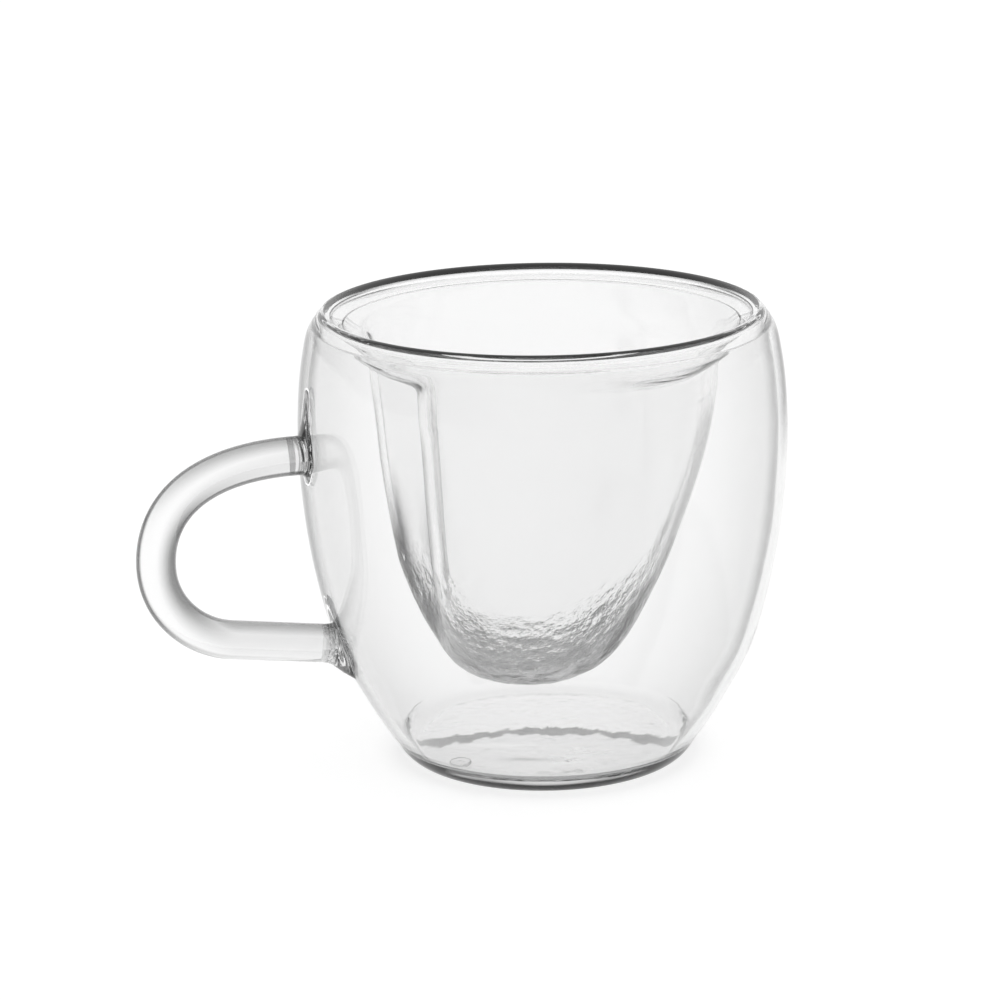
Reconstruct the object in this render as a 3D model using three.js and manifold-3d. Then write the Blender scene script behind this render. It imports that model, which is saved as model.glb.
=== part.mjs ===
// Double-walled glass cup with a bent rod handle.
// Millimetres, +Z up. The base stands on Z = 0, the cup's axis is Z and the handle points along -X.
import * as THREE from "three";
import { mergeVertices } from "three/addons/utils/BufferGeometryUtils.js";
import Module from "manifold-3d";

// Overall sizes
const HEIGHT = 90;
const BODY_RADIUS = 47.9;
const RIM_INSET = 5.6;
const BASE_INSET = 21.3;

// Glass thicknesses
const OUTER_WALL = 1.8;
const BOWL_WALL = 1.5;
const BOWL_BOTTOM = 3.4;
const BASE_THICKNESS = 3.6;
const BASE_FLOOR = 3;
const LIP_DEPTH = 2.5;
const LIP_WIDTH = 2;

// Inner bowl
const AIR_SPACE = 12.9;
const BOWL_UNDERSIDE = 15.4;
const BOWL_LEAN = 3.5;
const LEAN_FROM = 0.1;
const LEAN_TO = 0.75;
const HEART_FULL = 0.28;
const FLARE_SOFTNESS = 2;
const FLARE_RISE = 1.4;

// Handle
const ROD_DIAMETER = 7.6;
const FINGER_SPACE = 29.9;
const HANDLE_TOP = 64.7;
const HANDLE_BEND = 45.5;
const HANDLE_FOOT = 26.1;
const FOOT_SLOPE = THREE.MathUtils.degToRad(8.4);
const WELD_LENGTH = 3;
const WELD_FLARE = 1.14;

// Sealed vent in the base
const VENT_DIAMETER = 4.4;
const VENT_INSET = 4;
const VENT_TURN = THREE.MathUtils.degToRad(204);
const VENT_RECESS = 0.5;

// Gap left where one piece is fitted to a curved neighbour
const FIT_GAP = 0.2;

// Radii and reach that follow from the body
const RIM_RADIUS = BODY_RADIUS - RIM_INSET;
const BASE_RADIUS = BODY_RADIUS - BASE_INSET;
const BOWL_RADIUS = BODY_RADIUS - AIR_SPACE;
const HANDLE_REACH = BODY_RADIUS + FINGER_SPACE;
const VENT_RADIUS = BASE_RADIUS - VENT_INSET;
const LIP_SEAM = HEIGHT - LIP_DEPTH;

// Outer wall as fractions of the height and of the body radius
const OUTER_PROFILE = [
  [0.0, 0.575],
  [0.033, 0.622],
  [0.089, 0.695],
  [0.156, 0.768],
  [0.244, 0.853],
  [0.356, 0.916],
  [0.489, 0.966],
  [0.622, 0.994],
  [0.733, 1.0],
  [0.844, 0.988],
  [0.922, 0.966],
  [0.956, 0.95],
  [0.978, 0.924],
  [1.0, 0.883],
];

// Bowl wall, seen from the space between the walls:
// fractions of the way up from its underside to the rim, and of the bowl radius
const BOWL_PROFILE = [
  [0.0, 0.0],
  [0.0027, 0.109],
  [0.0094, 0.206],
  [0.0255, 0.329],
  [0.06, 0.454],
  [0.135, 0.6],
  [0.248, 0.729],
  [0.375, 0.82],
  [0.572, 0.923],
  [0.769, 0.986],
  [0.82, 0.99],
  [0.86, 0.993],
  [0.9, 0.996],
  [0.94, 1.0],
  [1.0, 1.0],
];

// Flared mouth of the bowl: fractions of the way up and of the rim radius
const FLARE_PROFILE = [
  [0.759, 0.378],
  [0.812, 0.567],
  [0.846, 0.709],
  [0.873, 0.816],
  [0.899, 0.87],
  [0.926, 0.901],
  [0.954, 0.933],
  [0.967, 0.95],
  [1.0, 1.0],
];

// Heart-shaped section of the bowl: degrees from the cleft, which faces the handle,
// and reach as a fraction of the round radius
const HEART = [
  [0, 0.72],
  [10, 0.765],
  [20, 0.865],
  [30, 0.985],
  [40, 1.075],
  [55, 1.11],
  [75, 1.06],
  [100, 0.97],
  [125, 0.915],
  [150, 0.93],
  [165, 0.985],
  [180, 1.05],
];

const wasm = await Module();
wasm.setup();

// Profile helpers

function smoothProfile(table, toPoint, count) {
  const curve = new THREE.SplineCurve(table.map(toPoint));
  return curve.getPoints(count);
}

function radiusAt(profile, z) {
  for (let i = 1; i < profile.length; i++) {
    const low = profile[i - 1];
    const high = profile[i];
    if (z >= low.y && z <= high.y) {
      const share = (z - low.y) / (high.y - low.y || 1);
      return THREE.MathUtils.lerp(low.x, high.x, share);
    }
  }
  return profile[profile.length - 1].x;
}

function offsetProfile(profile, thicknessAt) {
  return profile.map((point, i) => {
    const before = profile[Math.max(i - 1, 0)];
    const after = profile[Math.min(i + 1, profile.length - 1)];
    const along = new THREE.Vector2().subVectors(after, before).normalize();
    const inward = new THREE.Vector2(-along.y, along.x);
    return point.clone().addScaledVector(inward, thicknessAt(point));
  });
}

function clipProfile(profile, low, high) {
  const near = (high - low) / 1000;
  const kept = profile.filter((p) => p.y > low + near && p.y < high - near);
  const first = new THREE.Vector2(radiusAt(profile, low), low);
  const last = new THREE.Vector2(radiusAt(profile, high), high);
  return [first, ...kept, last];
}

function thin(profile, every) {
  return profile.filter((p, i) => i % every === 0 || i === profile.length - 1);
}

// Turns a profile of radius and height about the Z axis
function revolve(profile, facets = 56) {
  const geometry = new THREE.LatheGeometry(profile, facets);
  geometry.rotateX(Math.PI / 2);
  return geometry;
}

function closed(profile) {
  return [...profile, profile[0].clone()];
}

// Solids for cutting

function toSolid(geometry) {
  const bare = new THREE.BufferGeometry();
  const source = geometry.index ? geometry.toNonIndexed() : geometry;
  bare.setAttribute("position", source.getAttribute("position"));
  const merged = mergeVertices(bare, 1e-4);
  const mesh = new wasm.Mesh({
    numProp: 3,
    vertProperties: merged.attributes.position.array,
    triVerts: new Uint32Array(merged.index.array),
  });
  return new wasm.Manifold(mesh);
}

function toGeometry(solid) {
  const mesh = solid.getMesh();
  const geometry = new THREE.BufferGeometry();
  geometry.setAttribute("position", new THREE.BufferAttribute(mesh.vertProperties, 3));
  geometry.setIndex(new THREE.BufferAttribute(mesh.triVerts, 1));
  geometry.computeVertexNormals();
  return geometry;
}

// Outer wall

const outerFace = smoothProfile(
  OUTER_PROFILE,
  ([up, out]) => new THREE.Vector2(out * BODY_RADIUS, up * HEIGHT),
  120,
);
const outerInside = offsetProfile(outerFace, () => OUTER_WALL);

function outerShell() {
  const outside = thin(clipProfile(outerFace, BASE_THICKNESS, LIP_SEAM), 7);
  const inside = thin(clipProfile(outerInside, BASE_THICKNESS, LIP_SEAM), 7);
  return revolve(closed([...inside.reverse(), ...outside]));
}

// Inner bowl

const bowlHeight = HEIGHT - BOWL_UNDERSIDE;
const bowlFace = smoothProfile(
  BOWL_PROFILE,
  ([up, out]) => new THREE.Vector2(out * BOWL_RADIUS, BOWL_UNDERSIDE + up * bowlHeight),
  160,
);
bowlFace[0].x = 0;

function bowlThickness(point) {
  const up = (point.y - BOWL_UNDERSIDE) / bowlHeight;
  return THREE.MathUtils.lerp(BOWL_BOTTOM, BOWL_WALL, THREE.MathUtils.smoothstep(up, 0, 0.3));
}

const flareFace = smoothProfile(
  FLARE_PROFILE,
  ([up, out]) => new THREE.Vector2(out * RIM_RADIUS, BOWL_UNDERSIDE + up * bowlHeight),
  64,
);

// Height by which the flare's upper face lies above its lower face
const flareRise = FLARE_RISE * BOWL_WALL;

function flareAt(z) {
  return z < flareFace[0].y ? 0 : radiusAt(flareFace, z);
}

// The heart is the same on both sides, so the curve runs on past the cleft and the tip
const [, besideCleft] = HEART;
const besideTip = HEART[HEART.length - 2];
const heartCurve = smoothProfile(
  [[-besideCleft[0], besideCleft[1]], ...HEART, [360 - besideTip[0], besideTip[1]]],
  ([turn, reach]) => new THREE.Vector2(reach, turn),
  156,
);

function heartEdge(angle) {
  return radiusAt(heartCurve, Math.abs(THREE.MathUtils.radToDeg(angle)));
}

function softMax(a, b, softness) {
  const overlap = Math.max(softness - Math.abs(a - b), 0);
  return Math.max(a, b) + overlap ** 2 / (4 * softness);
}

// Presses a round bowl to the heart, opens its mouth to the round rim and leans it towards the handle.
// Each column of points runs up the outside and then down the inside.
function shapeBowl(geometry, columnLength, outsideLength) {
  const place = geometry.getAttribute("position");
  for (let i = 0; i < place.count; i++) {
    const x = place.getX(i);
    const y = place.getY(i);
    const z = place.getZ(i);
    const radius = Math.hypot(x, y);
    const up = (z - BOWL_UNDERSIDE) / bowlHeight;
    const pressed = THREE.MathUtils.smoothstep(up, 0, HEART_FULL);
    const heart = THREE.MathUtils.lerp(1, heartEdge(Math.atan2(y, -x)), pressed);
    const flare = flareAt(i % columnLength < outsideLength ? z : z - flareRise);
    const round = THREE.MathUtils.smoothstep(z, LIP_SEAM - FLARE_SOFTNESS, LIP_SEAM);
    const reach = THREE.MathUtils.lerp(softMax(radius * heart, flare, FLARE_SOFTNESS), flare, round);
    const share = z > flareFace[0].y ? reach / radius : heart;
    const lean = BOWL_LEAN * (1 - THREE.MathUtils.smoothstep(up, LEAN_FROM, LEAN_TO));
    place.setX(i, x * share - lean);
    place.setY(i, y * share);
  }
  geometry.computeVertexNormals();
  return geometry;
}

const bowlInside = offsetProfile(bowlFace, bowlThickness);
bowlInside[0].x = 0;

function innerBowl() {
  const outside = thin(clipProfile(bowlFace, BOWL_UNDERSIDE, LIP_SEAM), 8);
  const inside = thin(clipProfile(bowlInside, BOWL_UNDERSIDE + BOWL_BOTTOM, LIP_SEAM), 8);
  outside[0].set(0, BOWL_UNDERSIDE);
  inside[0].set(0, BOWL_UNDERSIDE + BOWL_BOTTOM);
  const column = [...outside, ...inside.reverse()];
  return shapeBowl(revolve(column), column.length, outside.length);
}

// Fused lip that closes the space between the walls
function rimBead() {
  const inner = flareAt(LIP_SEAM - flareRise);
  const outer = radiusAt(outerFace, LIP_SEAM);
  const round = LIP_WIDTH / 2;
  const profile = [new THREE.Vector2(inner, LIP_SEAM), new THREE.Vector2(outer, LIP_SEAM)];
  const shoulder = LIP_SEAM + 0.4 * LIP_DEPTH;
  profile.push(new THREE.Vector2(THREE.MathUtils.lerp(RIM_RADIUS + round, outer, 0.55), shoulder));
  for (let i = 0; i <= 6; i++) {
    const turn = (Math.PI * i) / 6;
    const out = RIM_RADIUS + round * Math.cos(turn);
    profile.push(new THREE.Vector2(out, HEIGHT - round + round * Math.sin(turn)));
  }
  profile.push(new THREE.Vector2(THREE.MathUtils.lerp(RIM_RADIUS - round, inner, 0.45), shoulder));
  return revolve(closed(profile));
}

// Thick base with its rounded heel
function baseDisc() {
  const seam = radiusAt(outerFace, BASE_THICKNESS);
  const wallInside = radiusAt(outerInside, BASE_THICKNESS);
  const profile = [
    new THREE.Vector2(0, 0),
    new THREE.Vector2(BASE_RADIUS, 0),
    new THREE.Vector2(THREE.MathUtils.lerp(BASE_RADIUS, seam, 0.3), 0.1 * BASE_THICKNESS),
    new THREE.Vector2(THREE.MathUtils.lerp(BASE_RADIUS, seam, 0.56), 0.3 * BASE_THICKNESS),
    new THREE.Vector2(THREE.MathUtils.lerp(BASE_RADIUS, seam, 0.8), 0.6 * BASE_THICKNESS),
    new THREE.Vector2(seam, BASE_THICKNESS),
    new THREE.Vector2(wallInside, BASE_THICKNESS),
    new THREE.Vector2(0.95 * wallInside, THREE.MathUtils.lerp(BASE_FLOOR, BASE_THICKNESS, 0.4)),
    new THREE.Vector2(0.9 * wallInside, BASE_FLOOR),
    new THREE.Vector2(0, BASE_FLOOR),
  ];
  const hole = ventCylinder(VENT_DIAMETER / 2 + FIT_GAP, -BASE_THICKNESS, 2 * BASE_THICKNESS);
  return toGeometry(toSolid(revolve(profile)).subtract(toSolid(hole)));
}

function ventCylinder(radius, low, high) {
  const geometry = new THREE.CylinderGeometry(radius, radius, high - low, 24);
  geometry.rotateX(Math.PI / 2);
  geometry.translate(
    VENT_RADIUS * Math.cos(VENT_TURN),
    VENT_RADIUS * Math.sin(VENT_TURN),
    (low + high) / 2,
  );
  return geometry;
}

// Handle: level top arm, round bend, straight lower arm that slopes to the wall

const footDirection = new THREE.Vector3(Math.cos(FOOT_SLOPE), 0, -Math.sin(FOOT_SLOPE));
const topWall = new THREE.Vector3(-radiusAt(outerFace, HANDLE_TOP), 0, HANDLE_TOP);
const footWall = new THREE.Vector3(-radiusAt(outerFace, HANDLE_FOOT), 0, HANDLE_FOOT);
const topEnd = topWall.clone().add(new THREE.Vector3(-WELD_LENGTH, 0, 0));
const footEnd = footWall.clone().addScaledVector(footDirection, -WELD_LENGTH);

function handleRod() {
  const bend = new THREE.Vector3(-HANDLE_REACH, 0, HANDLE_BEND);
  const across = topEnd.x - bend.x;
  const down = topEnd.z - bend.z;
  const top = new THREE.CubicBezierCurve3(
    topEnd,
    topEnd.clone().add(new THREE.Vector3(-0.72 * across, 0, 0)),
    bend.clone().add(new THREE.Vector3(0, 0, 0.55 * down)),
    bend,
  );
  const armLength = 0.58 * (footEnd.x - bend.x);
  const arm = footEnd.clone().addScaledVector(footDirection, -armLength);
  const low = new THREE.CubicBezierCurve3(
    bend,
    bend.clone().add(new THREE.Vector3(0, 0, -0.52 * (bend.z - arm.z))),
    arm.clone().addScaledVector(footDirection, -0.58 * (arm.x - bend.x)),
    arm,
  );
  const path = new THREE.CurvePath();
  path.add(top);
  path.add(low);
  path.add(new THREE.LineCurve3(arm, footEnd));
  const section = new THREE.Shape().absarc(0, 0, ROD_DIAMETER / 2, 0, 2 * Math.PI);
  return new THREE.ExtrudeGeometry(section, {
    steps: 36,
    curveSegments: 8,
    bevelEnabled: false,
    extrudePath: path,
  });
}

// Flared glass foot between an end of the rod and the outer wall
function handleWeld(wall, direction) {
  const rod = ROD_DIAMETER / 2;
  const flare = rod + WELD_FLARE;
  const deep = 2 * ROD_DIAMETER;
  const profile = [
    new THREE.Vector2(0, FIT_GAP - WELD_LENGTH),
    new THREE.Vector2(rod, FIT_GAP - WELD_LENGTH),
    new THREE.Vector2(THREE.MathUtils.lerp(rod, flare, 0.25), -0.6 * WELD_LENGTH),
    new THREE.Vector2(flare, -0.1 * WELD_LENGTH),
    new THREE.Vector2(flare, deep),
    new THREE.Vector2(0, deep),
  ];
  const geometry = new THREE.LatheGeometry(profile, 28);
  const turn = new THREE.Quaternion().setFromUnitVectors(new THREE.Vector3(0, 1, 0), direction);
  geometry.applyQuaternion(turn);
  geometry.translate(wall.x, wall.y, wall.z);
  const clearance = offsetProfile(outerFace, () => -FIT_GAP);
  const body = clipProfile(clearance, BASE_THICKNESS, LIP_SEAM);
  const core = [new THREE.Vector2(0, BASE_THICKNESS), ...body, new THREE.Vector2(0, LIP_SEAM)];
  return toGeometry(toSolid(geometry).subtract(toSolid(revolve(core))));
}

// Assembly

const cup = new THREE.Group();
cup.name = "double_wall_cup";

function add(name, geometry, colour) {
  const material = new THREE.MeshStandardMaterial({ color: colour, roughness: 0.1 });
  const mesh = new THREE.Mesh(geometry, material);
  mesh.name = name;
  cup.add(mesh);
}

add("outer_shell", outerShell(), 0xcfdde2);
add("inner_bowl", innerBowl(), 0xb7ccd4);
add("rim_bead", rimBead(), 0x9db8c2);
add("base_disc", baseDisc(), 0xa8c0c9);
add("vent_plug", ventCylinder(VENT_DIAMETER / 2, VENT_RECESS, BASE_FLOOR), 0x8aa9b5);
add("handle_rod", handleRod(), 0xc3d4da);
add("upper_handle_weld", handleWeld(topWall, new THREE.Vector3(1, 0, 0)), 0x8fb0bb);
add("lower_handle_weld", handleWeld(footWall, footDirection), 0x8fb0bb);

export default cup;
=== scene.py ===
# %% [markdown]
# # A double-walled glass cup
# The cup is a round outer wall of blown glass with a second bowl hung inside it from one fused lip.
# A thick base closes it below, and a bent glass rod is welded on as the handle.
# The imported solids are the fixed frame. Each glass piece is modelled again here, finer, in the same place.

import math
import random

import bpy
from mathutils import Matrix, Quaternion, Vector


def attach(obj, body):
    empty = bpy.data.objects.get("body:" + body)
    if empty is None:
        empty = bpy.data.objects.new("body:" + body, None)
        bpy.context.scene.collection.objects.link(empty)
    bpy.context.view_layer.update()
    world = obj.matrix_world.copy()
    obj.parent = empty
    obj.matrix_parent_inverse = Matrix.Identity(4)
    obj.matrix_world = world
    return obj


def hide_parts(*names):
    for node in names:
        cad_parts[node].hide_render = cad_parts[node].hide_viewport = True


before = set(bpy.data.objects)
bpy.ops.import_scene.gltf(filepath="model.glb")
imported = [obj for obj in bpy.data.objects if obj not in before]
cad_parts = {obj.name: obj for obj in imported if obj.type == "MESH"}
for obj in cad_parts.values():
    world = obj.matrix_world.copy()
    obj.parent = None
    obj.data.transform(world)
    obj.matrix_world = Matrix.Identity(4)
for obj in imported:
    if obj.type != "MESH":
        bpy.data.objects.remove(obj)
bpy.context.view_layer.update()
MM = 0.001
print("solids", sorted(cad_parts))

# %% [markdown]
# ## Camera
# The picture was taken from a little above with a long lens. The handle comes slightly towards the viewer.
# Aim, distance, pitch and turn could be set by eye. Here they come from fitting the cup's outline,
# so that the lip, base and handle fall where they should in a square frame.

# %% Set the camera
AIM = Vector((0, 0, 45 * MM))
DISTANCE = 0.6921
PITCH = math.radians(15.86)
TURN = math.radians(-18)
ROLL = math.radians(-0.68)
SENSOR = 36
LENS = 126.33
SHIFT = (-0.0439, 0.0297)

camera_data = bpy.data.cameras.new("camera")
camera = bpy.data.objects.new("camera", camera_data)
bpy.context.scene.collection.objects.link(camera)
bpy.context.scene.camera = camera
backwards = Vector(
    (math.sin(TURN) * math.cos(PITCH), -math.cos(TURN) * math.cos(PITCH), math.sin(PITCH))
)
camera.location = AIM + DISTANCE * backwards
camera.rotation_mode = "QUATERNION"
camera.rotation_quaternion = backwards.to_track_quat("Z", "Y") @ Quaternion((0, 0, 1), ROLL)
camera_data.sensor_width = SENSOR
camera_data.lens = LENS
camera_data.shift_x, camera_data.shift_y = SHIFT
print("camera", [round(v, 4) for v in camera.location])

# %% [markdown]
# ## Floor and light
# Clear glass shows what is around it, so the room decides how it looks. A white room all round gives
# a calm, bright cup, and a floor that is almost white keeps the faint shadow under the base.
# The world is white for the camera, and a little darker on one side for the rays that pass the glass.

# %% Node helpers
def new_material(name):
    material = bpy.data.materials.new(name)
    material.use_nodes = True
    return material, material.node_tree, material.node_tree.nodes["Principled BSDF"]


def set_inputs(node, values):
    for name, value in values.items():
        node.inputs[name].default_value = value


def map_range(tree, source, low, high, to_low=0):
    node = tree.nodes.new("ShaderNodeMapRange")
    node.interpolation_type = "SMOOTHSTEP"
    set_inputs(node, {"From Min": low, "From Max": high, "To Min": to_low, "To Max": 1})
    tree.links.new(source, node.inputs["Value"])
    return node.outputs["Result"]


def combine(tree, operation, first, second):
    """A Math node on two sockets or plain numbers."""
    node = tree.nodes.new("ShaderNodeMath")
    node.operation = operation
    for socket, value in zip(node.inputs, (first, second)):
        if isinstance(value, (int, float)):
            socket.default_value = value
        else:
            tree.links.new(value, socket)
    return node.outputs["Value"]


def grey(value):
    return (value, value, value, 1)


print("a grey", grey(0.5))

# %% Lay the floor
FLOOR_SIZE = 6
FLOOR_DROP = 0.03
PAPER_WHITE = 0.95
PAPER_GLOW = 0.16


def clear_selection():
    if bpy.context.object and bpy.context.object.mode != "OBJECT":
        bpy.ops.object.mode_set(mode="OBJECT")
    bpy.ops.object.select_all(action="DESELECT")


clear_selection()
bpy.ops.mesh.primitive_plane_add(size=FLOOR_SIZE, location=(0, 0, -FLOOR_DROP * MM))
floor = bpy.context.object
floor.name = "floor"
floor_paper, _, floor_shader = new_material("white_paper")
set_inputs(
    floor_shader,
    {
        "Base Color": grey(PAPER_WHITE),
        "Roughness": 1,
        "Specular IOR Level": 0,
        "Emission Color": grey(1),
        "Emission Strength": PAPER_GLOW,
    },
)
floor.data.materials.append(floor_paper)
print("floor", floor.dimensions[:])

# %% Light the room
SHADED_TO = -0.9
LIT_FROM = -0.2
SHADED_LIGHT = 0.7
BOUNCES = 32
GLOSSY_BOUNCES = 16

scene = bpy.context.scene
scene.view_settings.view_transform = "Standard"
scene.cycles.max_bounces = BOUNCES
scene.cycles.transmission_bounces = BOUNCES
scene.cycles.glossy_bounces = GLOSSY_BOUNCES

room = bpy.data.worlds.new("white_room")
scene.world = room
room.use_nodes = True
room_nodes = room.node_tree.nodes
room_links = room.node_tree.links
direction = room_nodes.new("ShaderNodeTexCoord")
across = room_nodes.new("ShaderNodeVectorMath")
across.operation = "DOT_PRODUCT"
across.inputs[1].default_value = (math.cos(TURN), math.sin(TURN), 0)
room_links.new(direction.outputs["Generated"], across.inputs[0])
sides = map_range(room.node_tree, across.outputs["Value"], SHADED_TO, LIT_FROM, to_low=SHADED_LIGHT)
path = room_nodes.new("ShaderNodeLightPath")
shown = room_nodes.new("ShaderNodeMix")
shown.inputs["B"].default_value = 1
room_links.new(path.outputs["Is Camera Ray"], shown.inputs["Factor"])
room_links.new(sides, shown.inputs["A"])
room_links.new(shown.outputs["Result"], room_nodes["Background"].inputs["Color"])
print("world", room.name)

# %% [markdown]
# ## Glass
# Blown glass is never quite even: it keeps soft waves from the melt. Several finishes use them,
# so they are a node group that gives a height. It makes bumps, and it breaks painted edge shade up into
# patches.

# %% Node group for the melt
MELT_ROUGHNESS = 0.55


def new_group(name, inputs, outputs):
    group = bpy.data.node_groups.new(name, "ShaderNodeTree")
    for direction, sockets in (("INPUT", inputs), ("OUTPUT", outputs)):
        for socket_name, kind in sockets:
            group.interface.new_socket(socket_name, in_out=direction, socket_type=kind)
    return group, group.nodes.new("NodeGroupInput"), group.nodes.new("NodeGroupOutput")


def melt_waves():
    group, given, result = new_group(
        "melt_waves",
        [
            ("Position", "NodeSocketVector"),
            ("Stretch", "NodeSocketVector"),
            ("Scale", "NodeSocketFloat"),
            ("Detail", "NodeSocketFloat"),
        ],
        [("Height", "NodeSocketFloat")],
    )
    stretched = group.nodes.new("ShaderNodeVectorMath")
    stretched.operation = "MULTIPLY"
    noise = group.nodes.new("ShaderNodeTexNoise")
    noise.inputs["Roughness"].default_value = MELT_ROUGHNESS
    group.links.new(given.outputs["Position"], stretched.inputs[0])
    group.links.new(given.outputs["Stretch"], stretched.inputs[1])
    group.links.new(stretched.outputs["Vector"], noise.inputs["Vector"])
    group.links.new(given.outputs["Scale"], noise.inputs["Scale"])
    group.links.new(given.outputs["Detail"], noise.inputs["Detail"])
    group.links.new(noise.outputs["Fac"], result.inputs["Height"])
    return group


MELT_WAVES = melt_waves()
print("group", MELT_WAVES.name)

# %% [markdown]
# Where the eye looks along a glass surface, the light is bent far aside and the edge reads dark.
# Layer Weight finds those edges, and the finish paints that shade into the glass colour. Each edge has a
# start, a full value and a strength, and masks can keep the painted shade to one side of a piece, to a range
# of heights, or to patches in the melt.

# %% Masks
PATCH_SCALE = 260
PATCH_DETAIL = 4


def add_waves(tree, coords, stretch, scale, detail):
    melt = tree.nodes.new("ShaderNodeGroup")
    melt.node_tree = MELT_WAVES
    set_inputs(melt, {"Stretch": stretch, "Scale": scale, "Detail": detail})
    tree.links.new(coords["place"], melt.inputs["Position"])
    return melt.outputs["Height"]


def mask(tree, coords, kind, direction, low, high):
    """A share from 0 to 1 along a direction of the surface normal, or of the place in mm.
    For patches in the melt, the direction is how they are stretched."""
    if kind == "patches":
        return map_range(tree, add_waves(tree, coords, direction, PATCH_SCALE, PATCH_DETAIL), low, high)
    unit = MM if kind == "place" else 1
    along = tree.nodes.new("ShaderNodeVectorMath")
    along.operation = "DOT_PRODUCT"
    along.inputs[1].default_value = Vector(direction).normalized()
    tree.links.new(coords[kind], along.inputs[0])
    return map_range(tree, along.outputs["Value"], low * unit, high * unit)


def masked(tree, coords, value, masks):
    for one in masks:
        value = combine(tree, "MULTIPLY", value, mask(tree, coords, *one))
    return value


print("patch scale", PATCH_SCALE)

# %% Parts of a glass finish
def add_bump(tree, coords, waves):
    """The surface normal with waves on it: stretch, scale, detail, height in mm, and masks."""
    stretch, scale, detail, distance, *masks = waves
    height = add_waves(tree, coords, stretch, scale, detail)
    bump = tree.nodes.new("ShaderNodeBump")
    bump.inputs["Distance"].default_value = distance * MM
    tree.links.new(masked(tree, coords, height, masks), bump.inputs["Height"])
    return bump.outputs["Normal"]


def painted_edge_shade(tree, coords, normal, edges):
    """The darkest painted shade of several edges: where each starts, where it is full, how strong it is, and
    masks.
    """
    edge = tree.nodes.new("ShaderNodeLayerWeight")
    tree.links.new(normal, edge.inputs["Normal"])
    shade = 0
    for start, full, strength, *masks in edges:
        strip = combine(tree, "MULTIPLY", map_range(tree, edge.outputs["Facing"], start, full), strength)
        shade = combine(tree, "MAXIMUM", shade, masked(tree, coords, strip, masks))
    return shade


def let_light_through(tree, shader, shadow):
    """Light on its way to the floor passes the glass straight, a little weaker."""
    path = tree.nodes.new("ShaderNodeLightPath")
    film = tree.nodes.new("ShaderNodeBsdfTransparent")
    film.inputs["Color"].default_value = grey(shadow)
    mix = tree.nodes.new("ShaderNodeMixShader")
    to_floor = combine(tree, "MAXIMUM", path.outputs["Is Shadow Ray"], path.outputs["Is Diffuse Ray"])
    tree.links.new(to_floor, mix.inputs["Fac"])
    tree.links.new(shader.outputs["BSDF"], mix.inputs[1])
    tree.links.new(film.outputs["BSDF"], mix.inputs[2])
    tree.links.new(mix.outputs["Shader"], tree.nodes["Material Output"].inputs["Surface"])


print("parts", [part.__name__ for part in (add_bump, painted_edge_shade, let_light_through)])

# %% Glass finish
GLASS_IOR = 1.47
GLASS_TINT = (0, 0.02, 0.02, 1)


def glass_finish(name, clear, edges, waves, absorb=8, shadow=0.99, both_sides=False, alpha=1, painted=""):
    """clear: what one surface lets through where it is seen straight on.
    absorb: how much light a metre of this glass takes. shadow: what it lets through to the floor.
    both_sides: whether light that leaves the glass is shaded at the edges too.
    alpha: 0 for faces inside one melted piece of glass, which don't show.
    painted: the name of an attribute of painted shade, which darkens the glass where it is 1."""
    material, tree, shader = new_material(name)
    set_inputs(shader, {"Transmission Weight": 1, "Roughness": 0, "IOR": GLASS_IOR, "Alpha": alpha})
    place = tree.nodes.new("ShaderNodeTexCoord")
    geometry = tree.nodes.new("ShaderNodeNewGeometry")
    coords = {"place": place.outputs["Object"], "normal": geometry.outputs["Normal"]}
    normal = add_bump(tree, coords, waves)
    tree.links.new(normal, shader.inputs["Normal"])
    shade = painted_edge_shade(tree, coords, normal, edges)
    if painted:
        paint = tree.nodes.new("ShaderNodeAttribute")
        paint.attribute_name = painted
        shade = combine(tree, "MAXIMUM", shade, paint.outputs["Fac"])
    if not both_sides:
        outside = combine(tree, "SUBTRACT", 1, geometry.outputs["Backfacing"])
        shade = combine(tree, "MULTIPLY", shade, outside)
    # Painted shade: the glass colour goes from clear to black where the edges and the painted attribute are
    # dark.
    colour = tree.nodes.new("ShaderNodeMix")
    colour.data_type = "RGBA"
    set_inputs(colour, {"A": grey(clear), "B": grey(0)})
    tree.links.new(shade, colour.inputs["Factor"])
    tree.links.new(colour.outputs["Result"], shader.inputs["Base Color"])
    let_light_through(tree, shader, shadow)
    inside = tree.nodes.new("ShaderNodeVolumeAbsorption")
    set_inputs(inside, {"Color": GLASS_TINT, "Density": absorb})
    tree.links.new(inside.outputs["Volume"], tree.nodes["Material Output"].inputs["Volume"])
    return material


print("glass with an index of refraction of", GLASS_IOR)
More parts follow.
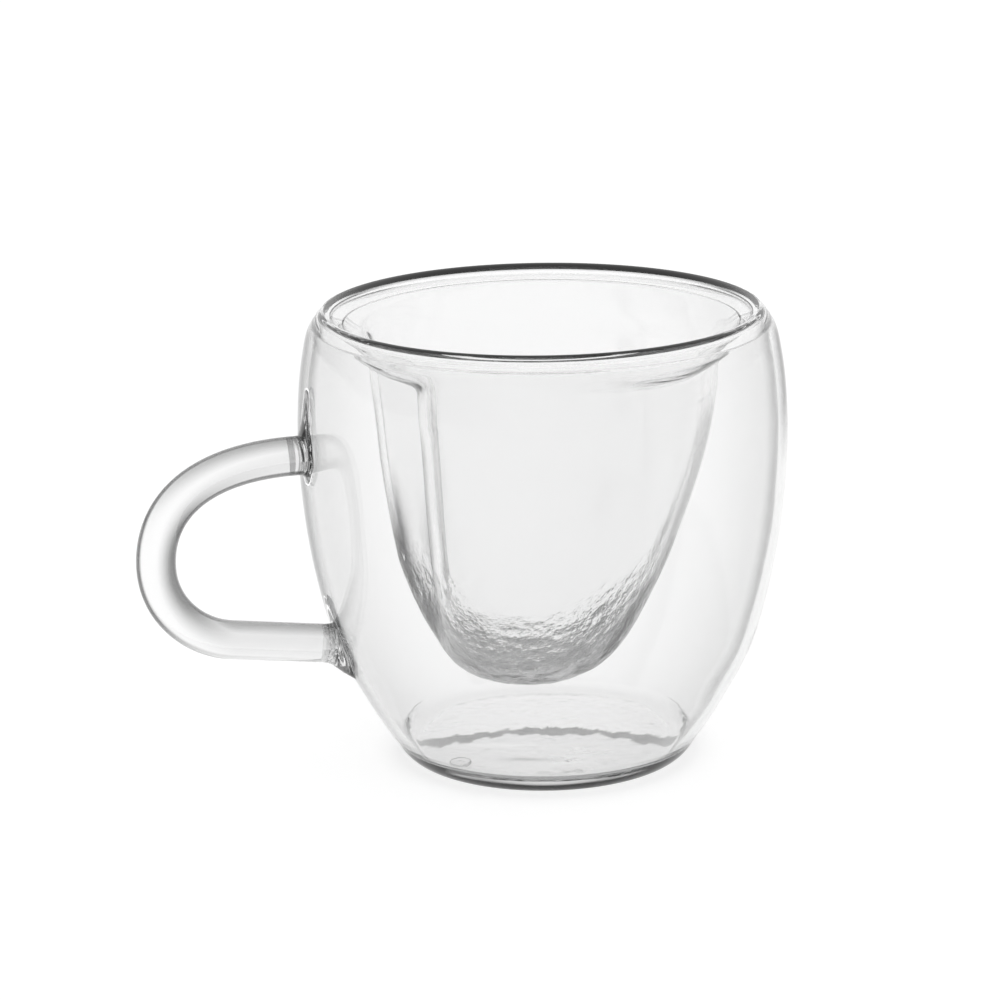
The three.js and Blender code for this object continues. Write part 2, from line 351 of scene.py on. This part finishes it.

# %% [markdown]
# Left, right and away are as the camera sees the cup. The rod's upper side and its right side get soft
# painted shade all over, the bowl's lower edges get painted shade broken into speckles, and the heel of the
# base gets painted shade at its sides. The lip, the wall and the welds get painted shade at their edges too.

# %% Finishes
UP = (0, 0, 1)
DOWN = (0, 0, -1)
LEFT = (-0.95, 0.31, 0)
RIGHT = (0.95, -0.31, 0)
RIGHT_LIMB = (0.95, -0.31, -0.7)
AWAY = (0.31, 0.95, 0)
EVEN = (1, 1, 1)
SHADE_STREAKS = ("patches", (0.7, 0.7, 1.8), 0.47, 0.57)
SHADE_SPECKLES = ("patches", (2, 2, 1.2), 0.26, 0.4)
EVERYWHERE = (-1, -0.5)
# Painted shade on the rod and the welds: along the edges higher up, and over the upper side and the right
# side.
ROD_PAINTED_SHADE = [
    (0.3, 0.5, 0.95, ("place", UP, 20, 36)),
    (*EVERYWHERE, 0.9, ("normal", UP, 0.2, 1.1)),
    (*EVERYWHERE, 0.93, ("normal", RIGHT, 0, 0.85)),
]
FINISH_SETTINGS = {
    # Painted shade along the wall's edges, strongest at its left edge and at its right edge higher up.
    "wall_glass": dict(
        clear=0.963,
        edges=[
            (0.15, 0.75, 0.2),
            (0.6, 0.85, 0.97, ("normal", LEFT, 0.5, 0.95)),
            (0.84, 0.94, 0.9, ("place", UP, 62, 76)),
            (0.66, 0.86, 1, ("normal", RIGHT, 0.6, 0.95), ("place", UP, 54, 74)),
        ],
        waves=(EVEN, 60, 1, 0.05),
    ),
    # Painted shade in bands along the bowl's edges, darker lower down and on its near side, broken into
    # speckles and streaks.
    "bowl_glass": dict(
        clear=0.963,
        edges=[
            (0.8, 0.95, 0.5),
            (0.68, 0.86, 0.9, ("place", UP, 76, 66)),
            (0.42, 0.6, 1, ("place", UP, 58, 42), ("place", AWAY, -11, -4), SHADE_SPECKLES),
            (0.3, 0.48, 1, ("place", UP, 48, 36), ("place", RIGHT_LIMB, -6.8, -4.0), SHADE_SPECKLES),
            (0.5, 0.7, 1, ("place", UP, 29, 22), SHADE_STREAKS),
            (0.66, 0.84, 1, ("place", UP, 36, 28)),
        ],
        waves=(EVEN, 420, 3, 0.7, ("place", UP, 48, 24)),
    ),
    # Painted shade: dark bands on the far side and the near side of the lip's top.
    "lip_glass": dict(
        clear=1,
        edges=[
            (0.1, 0.28, 1, ("place", UP, 88.7, 89.3), ("place", AWAY, 5, 20)),
            (0.1, 0.28, 1, ("place", UP, 89.4, 89.7), ("place", AWAY, -20, -30)),
        ],
        waves=(EVEN, 60, 1, 0.02),
    ),
    # Painted shade at the heel of the base, darker at its left and right sides.
    "base_glass": dict(
        clear=0.97,
        edges=[
            (0.8, 1, 0.3),
            (0.25, 0.45, 1, ("normal", DOWN, 0.33, 0.58)),
            (0.2, 0.4, 1, ("normal", DOWN, 0.2, 0.4), ("place", RIGHT, 8, 20)),
            (0.2, 0.4, 1, ("normal", DOWN, 0.2, 0.4), ("place", LEFT, 8, 20)),
        ],
        waves=(EVEN, 140, 2, 0.2, ("normal", UP, 0.5, 0.9)),
        absorb=0,
        shadow=0.95,
        painted="painted_base_shade",
    ),
    "vent_glass": dict(clear=1, edges=[(0.5, 0.9, 0.5)], waves=(EVEN, 140, 2, 0.1)),
    "handle_glass": dict(clear=1, edges=ROD_PAINTED_SHADE, waves=(EVEN, 50, 1, 0.04)),
    "weld_glass": dict(clear=0.98, edges=ROD_PAINTED_SHADE, waves=(EVEN, 200, 2, 0.04)),
}
FINISH = {name: glass_finish(name, **settings) for name, settings in FINISH_SETTINGS.items()}
FUSED = glass_finish("fused_glass", clear=1, edges=[], waves=(EVEN, 50, 1, 0.01), alpha=0)
# Painted shade for the weld faces near the wall: their edges darken on both sides of the glass.
WELD_EDGE_SHADE = glass_finish(
    "weld_painted_shade",
    clear=0.95,
    edges=[(0.4, 0.75, 0.9)],
    waves=(EVEN, 300, 2, 0.1),
    both_sides=True,
)
print("finishes", sorted(FINISH))

# %% [markdown]
# ## Turning a round piece
# Blown pieces are round, so each starts as one ring of points. The ring is extruded and resized again
# and again up the profile, as rings of clay are laid on a pot. A spin would do the same, but rings keep
# the profile as one plain list of radius and height.

# %% Profiles
def smooth_profile(points, steps):
    """A Catmull-Rom curve through the points, with a number of steps between two of them."""
    curve = []
    for i in range(len(points) - 1):
        before = Vector(points[max(i - 1, 0)])
        start = Vector(points[i])
        end = Vector(points[i + 1])
        after = Vector(points[min(i + 2, len(points) - 1)])
        for step in range(steps):
            t = step / steps
            first = 2 * start + (end - before) * t
            second = (2 * before - 5 * start + 4 * end - after) * t * t
            third = (3 * start - before - 3 * end + after) * t * t * t
            curve.append((first + second + third) / 2)
    return curve + [Vector(points[-1])]


def smoothstep(value, low, high):
    t = min(max((value - low) / (high - low), 0), 1)
    return t * t * (3 - 2 * t)


def read_curve(curve, place):
    """The value at a place on a curve of places and values."""
    for low, high in zip(curve, curve[1:]):
        if low.x <= place <= high.x:
            return low.y + (high.y - low.y) * (place - low.x) / (high.x - low.x)
    return curve[0].y if place < curve[0].x else curve[-1].y


print("halfway up a smooth step", smoothstep(0.5, 0, 1))

# %% Turned rings
SEGMENTS = 192
RING_HEIGHT = 1


def turn_rings(name, profile, segments=SEGMENTS):
    """Draws the first ring, then extrudes it along a profile of radius and height in mm."""
    clear_selection()
    radius, height = profile[0]
    bpy.ops.mesh.primitive_circle_add(vertices=segments, radius=radius * MM)
    piece = bpy.context.object
    piece.name = name
    bpy.ops.object.mode_set(mode="EDIT")
    bpy.ops.mesh.select_all(action="SELECT")
    bpy.ops.transform.translate(value=(0, 0, height * MM))
    for next_radius, next_height in profile[1:]:
        rise = (0, 0, (next_height - height) * MM)
        bpy.ops.mesh.extrude_region_move(TRANSFORM_OT_translate={"value": rise})
        share = next_radius / radius
        bpy.ops.transform.resize(value=(share, share, 1), center_override=(0, 0, next_height * MM))
        radius, height = next_radius, next_height
    return piece


def merge_middle(piece, radius, height):
    """Merges a small ring in the middle, at a height in mm, into one point. Starts and ends in edit mode."""
    bpy.ops.mesh.select_all(action="DESELECT")
    bpy.ops.object.mode_set(mode="OBJECT")
    for vertex in piece.data.vertices:
        level = abs(vertex.co.z / MM - height) < RING_HEIGHT
        vertex.select = level and vertex.co.xy.length < radius * MM
    bpy.ops.object.mode_set(mode="EDIT")
    bpy.ops.mesh.merge(type="CENTER")


def close_mesh(merge=0.002):
    """Merges doubles and makes all faces agree, in edit mode, then leaves edit mode."""
    bpy.ops.mesh.select_all(action="SELECT")
    bpy.ops.mesh.remove_doubles(threshold=merge * MM)
    bpy.ops.mesh.normals_make_consistent(inside=False)
    bpy.ops.object.mode_set(mode="OBJECT")


def turn_outwards(face, outwards):
    """Flips all the faces of the closed mesh if this one looks the wrong way."""
    if face.normal.dot(outwards) < 0:
        bpy.ops.object.mode_set(mode="EDIT")
        bpy.ops.mesh.flip_normals()
        bpy.ops.object.mode_set(mode="OBJECT")


print("segments in a ring", SEGMENTS)

# %% Thickness and finish
THICKEST = 10
SEAM_REACH = 0.1
SOFT_ANGLE = 60


def apply_modifier(piece, kind, **settings):
    modifier = piece.modifiers.new(kind.lower(), kind)
    for key, value in settings.items():
        setattr(modifier, key, value)
    bpy.context.view_layer.objects.active = piece
    bpy.ops.object.modifier_apply(modifier=modifier.name)


def grade_thickness(piece, thickness_at):
    """Solidify inwards, with a thickness in mm that depends on the height in mm."""
    group = piece.vertex_groups.new(name="thickness")
    for vertex in piece.data.vertices:
        group.add([vertex.index], thickness_at(vertex.co.z / MM) / THICKEST, "REPLACE")
    apply_modifier(piece, "SOLIDIFY", thickness=THICKEST * MM, offset=-1, vertex_group="thickness")


def dress(piece, slot, *melted):
    for material in (FINISH[slot], *melted):
        piece.data.materials.append(material)


def fuse_seam(piece, radius, height):
    """Gives the second finish to the ring of faces with its middle at a radius and height in mm."""
    seam = Vector((radius, height))
    for face in piece.data.polygons:
        middle = Vector((face.center.xy.length, face.center.z)) / MM
        if (middle - seam).length < SEAM_REACH:
            face.material_index = 1


def finish_piece(piece, slot, *nodes, angle=40):
    """Smooth shading, and the place of the piece in the frame."""
    clear_selection()
    piece.select_set(True)
    bpy.context.view_layer.objects.active = piece
    bpy.ops.object.shade_smooth_by_angle(angle=math.radians(angle))
    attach(piece, "root")
    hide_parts(*nodes)
    print(piece.name, "faces", len(piece.data.polygons), "mm", [round(v / MM, 1) for v in piece.dimensions])


print("thickest glass in mm", THICKEST)

# %% [markdown]
# ## Outer wall
# The outer wall is one blown bubble, widest above the middle and drawn in at the lip.
# Its outside is turned in rings, and Solidify then gives the glass its thickness inwards.
# Its lower edge is melted into the base, so that edge doesn't show.

# %% Outer wall
WALL = 1.8
OUTSIDE = [
    (30.25, 3.58),
    (33.3, 8.0),
    (36.8, 14.0),
    (40.85, 22.0),
    (43.9, 32.0),
    (46.3, 44.0),
    (47.6, 56.0),
    (47.9, 66.0),
    (47.35, 76.0),
    (46.3, 83.0),
    (45.5, 86.0),
    (44.65, 87.5),
]
WALL_SEAM = (29.51, 4.09)
outside = smooth_profile(OUTSIDE, 4)
outer_wall = turn_rings("blown_outer_wall", outside)
close_mesh()
dress(outer_wall, "wall_glass", FUSED)
grade_thickness(outer_wall, lambda height: WALL)
fuse_seam(outer_wall, *WALL_SEAM)
finish_piece(outer_wall, "wall_glass", "outer_shell")

# %% [markdown]
# ## Inner bowl
# The bowl is blown into a mould with a soft heart-shaped section, its cleft towards the handle.
# It is turned round first, and each ring is then pressed to the heart, which fades out below the lip.
# The lower part is thicker and keeps ripples from the mould.

# %% Heart-shaped section
HEART = [
    (0, 0.72),
    (10, 0.765),
    (20, 0.865),
    (30, 0.985),
    (40, 1.075),
    (55, 1.11),
    (75, 1.06),
    (100, 0.97),
    (125, 0.915),
    (150, 0.93),
    (165, 0.985),
    (180, 1.05),
]
before_cleft = (-HEART[1][0], HEART[1][1])
after_tip = (360 - HEART[-2][0], HEART[-2][1])
heart_curve = smooth_profile([before_cleft, *HEART, after_tip], 8)


def heart_edge(angle):
    """Reach at an angle from the cleft, as a share of the round radius."""
    return read_curve(heart_curve, abs(math.degrees(angle)))


print("heart at cleft, lobe and tip", [round(heart_edge(math.radians(a)), 3) for a in (0, 55, 180)])

# %% Turn the bowl
BOWL_SEGMENTS = 128
BOWL_UNDERSIDE = 15.4
BOWL_TALL = 90 - BOWL_UNDERSIDE
BOWL_RINGS = [
    (0.7, 15.4),
    (3.8, 15.6),
    (7.2, 16.1),
    (11.5, 17.3),
    (15.9, 19.9),
    (21.0, 25.5),
    (25.5, 33.9),
    (28.7, 43.4),
    (32.3, 58.1),
    (34.5, 72.8),
]
BOWL_MIDDLE = 0.8
RING_WIDENS = 0.02
RING_RISES = 0.6
RING_COUNT = 23
widest, highest = BOWL_RINGS[-1]
flare_rings = [
    (widest + RING_WIDENS * step, highest + RING_RISES * step) for step in range(1, RING_COUNT + 1)
]
bowl = turn_rings("heart_bowl", smooth_profile(BOWL_RINGS, 5) + flare_rings, segments=BOWL_SEGMENTS)
merge_middle(bowl, BOWL_MIDDLE, BOWL_UNDERSIDE)
close_mesh()
lowest = min(bowl.data.polygons, key=lambda face: face.center.z)
turn_outwards(lowest, Vector(DOWN))
print("bowl rings", len(bowl.data.vertices) // BOWL_SEGMENTS)

# %% Press the heart
BOWL_LEAN = 3.5
LEAN_FROM = 0.1
LEAN_TO = 0.75
HEART_FULL = 0.28
FLARE = [(72.0, 16.0), (76.0, 24.0), (78.5, 30.0), (80.5, 34.5), (82.5, 36.8), (84.5, 38.1), (86.6, 39.45)]
FLARE_SOFTNESS = 2
ROUND_FROM = 83.5
ROUND_AT = 86.6
SMALLEST = 0.01
flare_curve = smooth_profile(FLARE, 4)


def soft_max(first, second, softness):
    overlap = max(softness - abs(first - second), 0)
    return max(first, second) + overlap**2 / (4 * softness)


def share_up(height):
    """A height in mm as a share of the bowl's own height."""
    return (height - BOWL_UNDERSIDE) / BOWL_TALL


def pressed_radius(radius, height, angle):
    """The radius after the press: a heart below, then the flare, and round at the lip."""
    heart = heart_edge(angle)
    heart += (1 - heart) * (1 - smoothstep(share_up(height), 0, HEART_FULL))
    pressed = radius * heart
    if height > FLARE[0][0]:
        flare = read_curve(flare_curve, height)
        pressed = soft_max(pressed, flare, FLARE_SOFTNESS)
        pressed += (flare - pressed) * smoothstep(height, ROUND_FROM, ROUND_AT)
    return pressed


for vertex in bowl.data.vertices:
    height = vertex.co.z / MM
    radius = vertex.co.xy.length / MM
    angle = math.atan2(vertex.co.y, -vertex.co.x)
    share = pressed_radius(radius, height, angle) / max(radius, SMALLEST)
    lean = BOWL_LEAN * (1 - smoothstep(share_up(height), LEAN_FROM, LEAN_TO))
    vertex.co.x = vertex.co.x * share - lean * MM
    vertex.co.y = vertex.co.y * share
bowl.data.update()
apply_modifier(bowl, "SUBSURF", levels=1, render_levels=1)
print("pressed bowl, vertices", len(bowl.data.vertices))

# %% Thicken the bowl
BOWL_BOTTOM = 3.4
BOWL_WALL = 1.5
FLARE_WALL = 1.2
BOTTOM_TO = 0.3
THINNER_FROM = 0.8
THINNER_TO = 0.95


def bowl_thickness(height):
    up = share_up(height)
    lower = BOWL_BOTTOM + (BOWL_WALL - BOWL_BOTTOM) * smoothstep(up, 0, BOTTOM_TO)
    return lower + (FLARE_WALL - BOWL_WALL) * smoothstep(up, THINNER_FROM, THINNER_TO)


dress(bowl, "bowl_glass")
grade_thickness(bowl, bowl_thickness)
print("bowl faces", len(bowl.data.polygons))

# %% Ripple the lower part
RIPPLED_TO = 0.02
SMOOTH_FROM = 0.55
RIPPLES = [("mould_waves", 6.0, 0.25), ("mould_ripples", 2.0, 0.15)]
rippled = bowl.vertex_groups.new(name="rippled")
for vertex in bowl.data.vertices:
    up = share_up(vertex.co.z / MM)
    rippled.add([vertex.index], 1 - smoothstep(up, RIPPLED_TO, SMOOTH_FROM), "REPLACE")
for ripple_name, size, amount in RIPPLES:
    texture = bpy.data.textures.new(ripple_name, "CLOUDS")
    texture.noise_scale = size * MM
    texture.noise_depth = 1
    apply_modifier(
        bowl,
        "DISPLACE",
        texture=texture,
        texture_coords="LOCAL",
        strength=amount * MM,
        mid_level=0.5,
        vertex_group="rippled",
    )
finish_piece(bowl, "bowl_glass", "inner_bowl", angle=SOFT_ANGLE)

# %% [markdown]
# ## Lip
# At the lip the two walls are melted together into one rounded bead. It is a closed ring section:
# up the outside, over the bead, down into the flare and back under the air space.

# %% Lip
LIP_OUTSIDE = [(44.68, 87.46), (44.25, 88.1), (43.75, 88.8), (43.2, 89.45), (42.7, 89.85), (42.2, 90.0)]
LIP_INSIDE = [(42.2, 90.0), (41.6, 89.85), (41.0, 89.5), (40.3, 88.95), (39.4, 88.2), (38.52, 87.36)]
LIP_UNDER = [(39.42, 86.56), (40.4, 87.4), (41.2, 88.05), (41.8, 88.25), (42.4, 88.0), (43.28, 86.36)]
lip_profile = smooth_profile(LIP_OUTSIDE, 4)[:-1] + smooth_profile(LIP_INSIDE, 4)
lip_profile += smooth_profile(LIP_UNDER, 3) + [Vector(LIP_OUTSIDE[0])]
lip = turn_rings("fused_lip", lip_profile)
close_mesh()
dress(lip, "lip_glass")
finish_piece(lip, "lip_glass", "rim_bead")

# %% [markdown]
# ## Base
# The base is a thick melted disc with a flat underside and a rounded heel.
# Its flat floor runs up into the wall with a soft fillet.

# %% Base
HEEL = [(25.6, 0.0), (26.4, 0.04), (27.2, 0.25), (28.2, 0.85), (29.3, 2.0), (30.28, 3.62)]
FLOOR = 3.0
SEAM_INSIDE = [(28.8, 4.64), (27.7, 4.0), (26.4, 3.48), (24.9, 3.14)]
BASE_STEPS = [0.6, 3, 6, 9, 12, 15, 18, 21, 24]
BASE_MIDDLE = 0.7
underside = [(r, 0) for r in BASE_STEPS]
upper = SEAM_INSIDE + [(r, FLOOR) for r in reversed(BASE_STEPS)]
base_profile = smooth_profile(underside, 3) + smooth_profile(HEEL, 3) + smooth_profile(upper, 4)
base = turn_rings("thick_base", base_profile)
merge_middle(base, BASE_MIDDLE, 0)
merge_middle(base, BASE_MIDDLE, FLOOR)
close_mesh()
print("base vertices", len(base.data.vertices))

# %% [markdown]
# The floor keeps a trace of the melt: a shallow swirl is shaped into it. A ragged dark line across it is
# painted shade, as is a faint grey on its near side with lighter and darker streaks, the lighter ones
# painted highlights.
# They are painted as an attribute that the finish reads.

# %% Swirl the floor
FLOOR_REACH = 27
SWIRL_AT = Vector((0.1, -15.8))
SWIRL_RADIUS = 9
SWIRL_EYE = 2
SWIRL_DEPTH = 0.2
SWIRL_ARMS = 2
SWIRL_TWIST = 0.6

floor_points = [
    vertex.index
    for vertex in base.data.vertices
    if vertex.co.z > FLOOR / 2 * MM and vertex.co.xy.length < FLOOR_REACH * MM
]
for index in floor_points:
    vertex = base.data.vertices[index]
    from_swirl = vertex.co.xy / MM - SWIRL_AT
    reach = from_swirl.length
    turn = math.atan2(from_swirl.y, from_swirl.x)
    fade = math.exp(-((reach / SWIRL_RADIUS) ** 2)) * smoothstep(reach, 0, SWIRL_EYE)
    vertex.co.z += SWIRL_DEPTH * MM * fade * math.cos(SWIRL_ARMS * turn + SWIRL_TWIST * reach)
base.data.update()
print("points on the floor", len(floor_points))

# %% Paint shade on the floor
SHADE_LINE_AT = 3.0
SHADE_LINE_BOW = 9.5
SHADE_LINE_DARKNESS = 0.9
SHADE_LINE_SHARP = 0.6
SHADE_LINE_FADE = 1.2
SHADE_LINE_WIDTH = 2.5
SHADE_LINE_SPREAD = 3.2
RAGGED = [(0.4, 1.3, 0), (0.3, 3.1, 1), (0.2, 7.3, 0)]
WAVY = [(0.8, 0.35, 1), (0.6, 1.1, 0)]
PAINTED_FLOOR_SHADE = 0.2
PAINTED_FLOOR_SHADE_FROM = 3
PAINTED_STREAKS = [
    (Vector((-9, -7)), Vector((8, 1.2)), -1),
    (Vector((4.5, -16.5)), Vector((3, 1.3)), -1),
    (Vector((-3.8, -15.4)), Vector((5, 1)), 2.6),
]
BASE_SEAM = (29.54, 4.13)


def sum_waves(waves, across):
    """Each wave has a height in mm, a rate and a start."""
    return sum(height * math.sin(rate * across + start) for height, rate, start in waves)


def streak_shade_at(across, away):
    """Faint painted shade on the near floor. Each streak has a middle and a reach in mm, and a strength:
    lighter ones are painted highlights.
    """
    shade = 1
    for middle, reach, strength in PAINTED_STREAKS:
        offset = Vector((across, away)) - middle
        shade += strength * math.exp(-((offset.x / reach.x) ** 2) - (offset.y / reach.y) ** 2)
    return PAINTED_FLOOR_SHADE * shade


def base_shade_at(across, away):
    """How much painted shade the floor has at a place in mm to the right and away: a ragged line and the
    faint grey near it.
    """
    outwards = (across / FLOOR_REACH) ** 2
    nearer = SHADE_LINE_AT - SHADE_LINE_BOW * outwards + sum_waves(RAGGED, across) - away
    width = SHADE_LINE_WIDTH + SHADE_LINE_SPREAD * outwards + sum_waves(WAVY, across)
    line = smoothstep(nearer, -SHADE_LINE_SHARP, 0) * (1 - smoothstep(nearer, width, width + SHADE_LINE_FADE))
    return max(SHADE_LINE_DARKNESS * line, streak_shade_at(across, away) * smoothstep(nearer, 0, PAINTED_FLOOR_SHADE_FROM))


# The painted shade goes into an attribute that darkens the base's glass.
painted_base_shade = base.data.attributes.new("painted_base_shade", "FLOAT", "POINT")
for index in floor_points:
    spot = base.data.vertices[index].co.xy / MM
    shade = base_shade_at(spot.dot(Vector(RIGHT).xy), spot.dot(Vector(AWAY).xy))
    painted_base_shade.data[index].value = shade
dress(base, "base_glass", FUSED)
fuse_seam(base, *BASE_SEAM)
finish_piece(base, "base_glass", "base_disc")

# %% [markdown]
# ## Sealed vent
# Air leaves through a small hole in the base while the walls are fused. The hole is then melted shut,
# which leaves a small round dimple.

# %% Sealed vent
VENT_AT = Vector((-20.65, -9.19, 0)) * MM
VENT = [(0.05, 0.6), (1.6, 0.6), (2.1, 0.8), (2.2, 1.1), (2.2, 1.7), (1.9, 2.1), (1.2, 2.0), (0.05, 1.9)]
VENT_SEGMENTS = 48
VENT_MERGE = 0.2
vent = turn_rings("sealed_vent", smooth_profile(VENT, 3), segments=VENT_SEGMENTS)
close_mesh(merge=VENT_MERGE)
for vertex in vent.data.vertices:
    vertex.co += VENT_AT
dress(vent, "vent_glass")
finish_piece(vent, "vent_glass", "vent_plug")

# %% [markdown]
# ## Handle
# The handle is one solid rod, heated and bent: a level upper arm, a round bend and a lower arm that slopes
# down to the wall. A Bezier curve follows its middle, and a round bevel gives the rod its thickness.

# %% Handle rod
ROD = 3.8
ROD_STEPS = 32
ROD_SIDES = 14
ROD_PATH = [
    ((-50.7, 64.7), (-46, 64.7), (-70.2, 64.7)),
    ((-77.8, 45.5), (-77.8, 56.1), (-77.8, 37.0)),
    ((-63.5, 29.24), (-71.3, 30.39), (-57.5, 28.35)),
    ((-45.1, 26.52), (-51.0, 27.4), (-40.0, 25.8)),
]


def in_plane(point):
    return Vector((point[0], 0, point[1])) * MM


clear_selection()
bpy.ops.curve.primitive_bezier_curve_add()
rod = bpy.context.object
rod.name = "bent_rod"
spline = rod.data.splines[0]
spline.bezier_points.add(len(ROD_PATH) - len(spline.bezier_points))
for knot, (place, before, after) in zip(spline.bezier_points, ROD_PATH):
    knot.handle_left_type = "FREE"
    knot.handle_right_type = "FREE"
    knot.co = in_plane(place)
    knot.handle_left = in_plane(before)
    knot.handle_right = in_plane(after)
rod.data.resolution_u = ROD_STEPS
rod.data.bevel_depth = ROD * MM
rod.data.bevel_resolution = ROD_SIDES
rod.data.use_fill_caps = True
bpy.ops.object.convert(target="MESH")
bpy.ops.object.mode_set(mode="EDIT")
close_mesh()
dress(rod, "handle_glass")
finish_piece(rod, "handle_glass", "handle_rod")

# %% [markdown]
# ## Welds
# Each end of the rod is melted onto the wall, where the glass spreads into a short flared foot.
# A circle is extruded along the rod's direction and widened, and its last ring is landed on the wall.
# The melt is drawn out along the wall in tails above and below, and its inner face keeps fine ridges.

# %% Draw a foot
FOOT_SEGMENTS = 64
CAP_STEPS = 14


def draw_foot(name, rings, shaded_depth):
    """rings: distance from the wall and radius in mm. The last argument is how deep in mm, from the wall,
    the faces go that get painted edge shade.
    """
    clear_selection()
    distance, radius = rings[0]
    bpy.ops.mesh.primitive_circle_add(vertices=FOOT_SEGMENTS, radius=radius * MM, fill_type="TRIFAN")
    foot = bpy.context.object
    foot.name = name
    dress(foot, "weld_glass", WELD_EDGE_SHADE)
    bpy.ops.object.mode_set(mode="EDIT")
    bpy.ops.mesh.select_all(action="SELECT")
    cap = [(0, rings[-1][1] * (1 - step / CAP_STEPS)) for step in range(1, CAP_STEPS)]
    for next_distance, next_radius in rings[1:] + cap:
        rise = (0, 0, (distance - next_distance) * MM)
        bpy.ops.mesh.extrude_region_move(TRANSFORM_OT_translate={"value": rise})
        share = next_radius / radius
        bpy.ops.transform.resize(value=(share, share, share), center_override=(0, 0, 0))
        bpy.ops.transform.resize(value=(1, 1, 1 / share), center_override=(0, 0, 0))
        distance, radius = next_distance, next_radius
    bpy.ops.mesh.select_all(action="DESELECT")
    bpy.ops.object.mode_set(mode="OBJECT")
    # The faces near the wall get the painted edge shade.
    for face in foot.data.polygons:
        face.material_index = int(face.center.z / MM > rings[0][0] - shaded_depth)
    return foot


print("steps across the inner face", CAP_STEPS)

# %% Land a foot on the wall
LAND_OVER = 0.8
LAND_INSIDE = 0.04
TAIL_CORE = 1
TAIL_SIDES = 5
TAIL_FROM = 4.6
RIDGE_STEP = 1.4
RIDGE_HEIGHT = 0.1
FACE_DEPTH = 0.001
UPPER_AT = 64.7
LOWER_AT = 26.1
heights_up = [Vector((point.y, point.x)) for point in outside]


def wall_radius(height):
    """Radius of the outer wall's outside at a height, in mm."""
    return read_curve(heights_up, height)


def on_wall(height):
    """The wall's point nearest the handle at a height in mm."""
    return Vector((-wall_radius(height), 0, height)) * MM


def land_foot(foot, height, slope, start, tails):
    """start: distance from the wall to the rod's end. tails: how far the melt is drawn up and down."""
    towards = Vector((math.cos(slope), 0, -math.sin(slope)))
    upright = Vector((math.sin(slope), 0, math.cos(slope)))
    sideways = Vector((0, 1, 0))
    for vertex in foot.data.vertices:
        along = vertex.co.z - start * MM
        spot = on_wall(height) + towards * along + upright * vertex.co.x + sideways * vertex.co.y
        landing = smoothstep(along / MM, -LAND_OVER, 0)
        drawn = landing * (1 - smoothstep(abs(vertex.co.y) / MM, TAIL_CORE, TAIL_SIDES))
        for tail, sign in zip(tails, (1, -1)):
            spot.z += sign * tail * MM * drawn * smoothstep(sign * vertex.co.x / MM, 0, TAIL_FROM)
        wall_depth = math.sqrt(max((wall_radius(spot.z / MM) * MM) ** 2 - spot.y**2, 0))
        spot.x += (LAND_INSIDE * MM - wall_depth - spot.x) * landing
        if along > -FACE_DEPTH * MM:
            reach = math.hypot(vertex.co.x, vertex.co.y) / MM
            spot.x += RIDGE_HEIGHT * MM * math.cos(2 * math.pi * reach / RIDGE_STEP)
        vertex.co = spot
    foot.data.update()
    bpy.ops.object.mode_set(mode="EDIT")
    close_mesh()
    start_cap = min(foot.data.polygons, key=lambda face: face.center.x)
    turn_outwards(start_cap, -towards)


print("wall radius at the welds", [round(wall_radius(height), 2) for height in (UPPER_AT, LOWER_AT)])

# %% Bubbles in the melt
BUBBLE_REACH = 3.6
BUBBLE_DEPTH = (0.6, 3.0)
BUBBLE_SIZE = (0.15, 0.5)


def add_bubbles(foot, middle, count, seed):
    """Small air bubbles trapped in the melt: closed spheres turned inside out, joined to the foot."""
    draw = random.Random(seed)
    bubbles = []
    for _ in range(count):
        reach = BUBBLE_REACH * math.sqrt(draw.random())
        turn = draw.uniform(0, 2 * math.pi)
        spot = Vector((-draw.uniform(*BUBBLE_DEPTH), reach * math.cos(turn), reach * math.sin(turn)))
        clear_selection()
        size = draw.uniform(*BUBBLE_SIZE) * MM
        bpy.ops.mesh.primitive_ico_sphere_add(subdivisions=2, radius=size, location=middle + spot * MM)
        bubble = bpy.context.object
        bpy.ops.object.transform_apply(location=True, rotation=True, scale=True)
        bpy.ops.object.mode_set(mode="EDIT")
        bpy.ops.mesh.flip_normals()
        bpy.ops.object.mode_set(mode="OBJECT")
        bubbles.append(bubble)
    clear_selection()
    for bubble in bubbles:
        bubble.select_set(True)
    foot.select_set(True)
    bpy.context.view_layer.objects.active = foot
    bpy.ops.object.join()


print("bubbles in mm", BUBBLE_SIZE)

# %% Welds
UPPER_RINGS = [(2.9, 3.8), (2.0, 3.8), (1.0, 3.82), (0.5, 3.95), (0.2, 4.4), (0, 5.2)]
UPPER_SHADED_DEPTH = 0.6
UPPER_TAILS = (8, 1)
LOWER_SLOPE = math.radians(8.4)
LOWER_RINGS = [(2.93, 3.8), (2.4, 3.85), (1.6, 4.0), (0.9, 4.3), (0.4, 4.7), (0, 5.0)]
LOWER_SHADED_DEPTH = 0.3
LOWER_TAILS = (5, 2.5)
BUBBLE_COUNT = 80
BUBBLE_SEED = 5

upper_weld = draw_foot("upper_weld", UPPER_RINGS, UPPER_SHADED_DEPTH)
land_foot(upper_weld, UPPER_AT, 0, UPPER_RINGS[0][0], UPPER_TAILS)
finish_piece(upper_weld, "weld_glass", "upper_handle_weld", angle=SOFT_ANGLE)
lower_weld = draw_foot("lower_weld", LOWER_RINGS, LOWER_SHADED_DEPTH)
land_foot(lower_weld, LOWER_AT, LOWER_SLOPE, LOWER_RINGS[0][0], LOWER_TAILS)
add_bubbles(lower_weld, on_wall(LOWER_AT), BUBBLE_COUNT, BUBBLE_SEED)
finish_piece(lower_weld, "weld_glass", "lower_handle_weld", angle=SOFT_ANGLE)
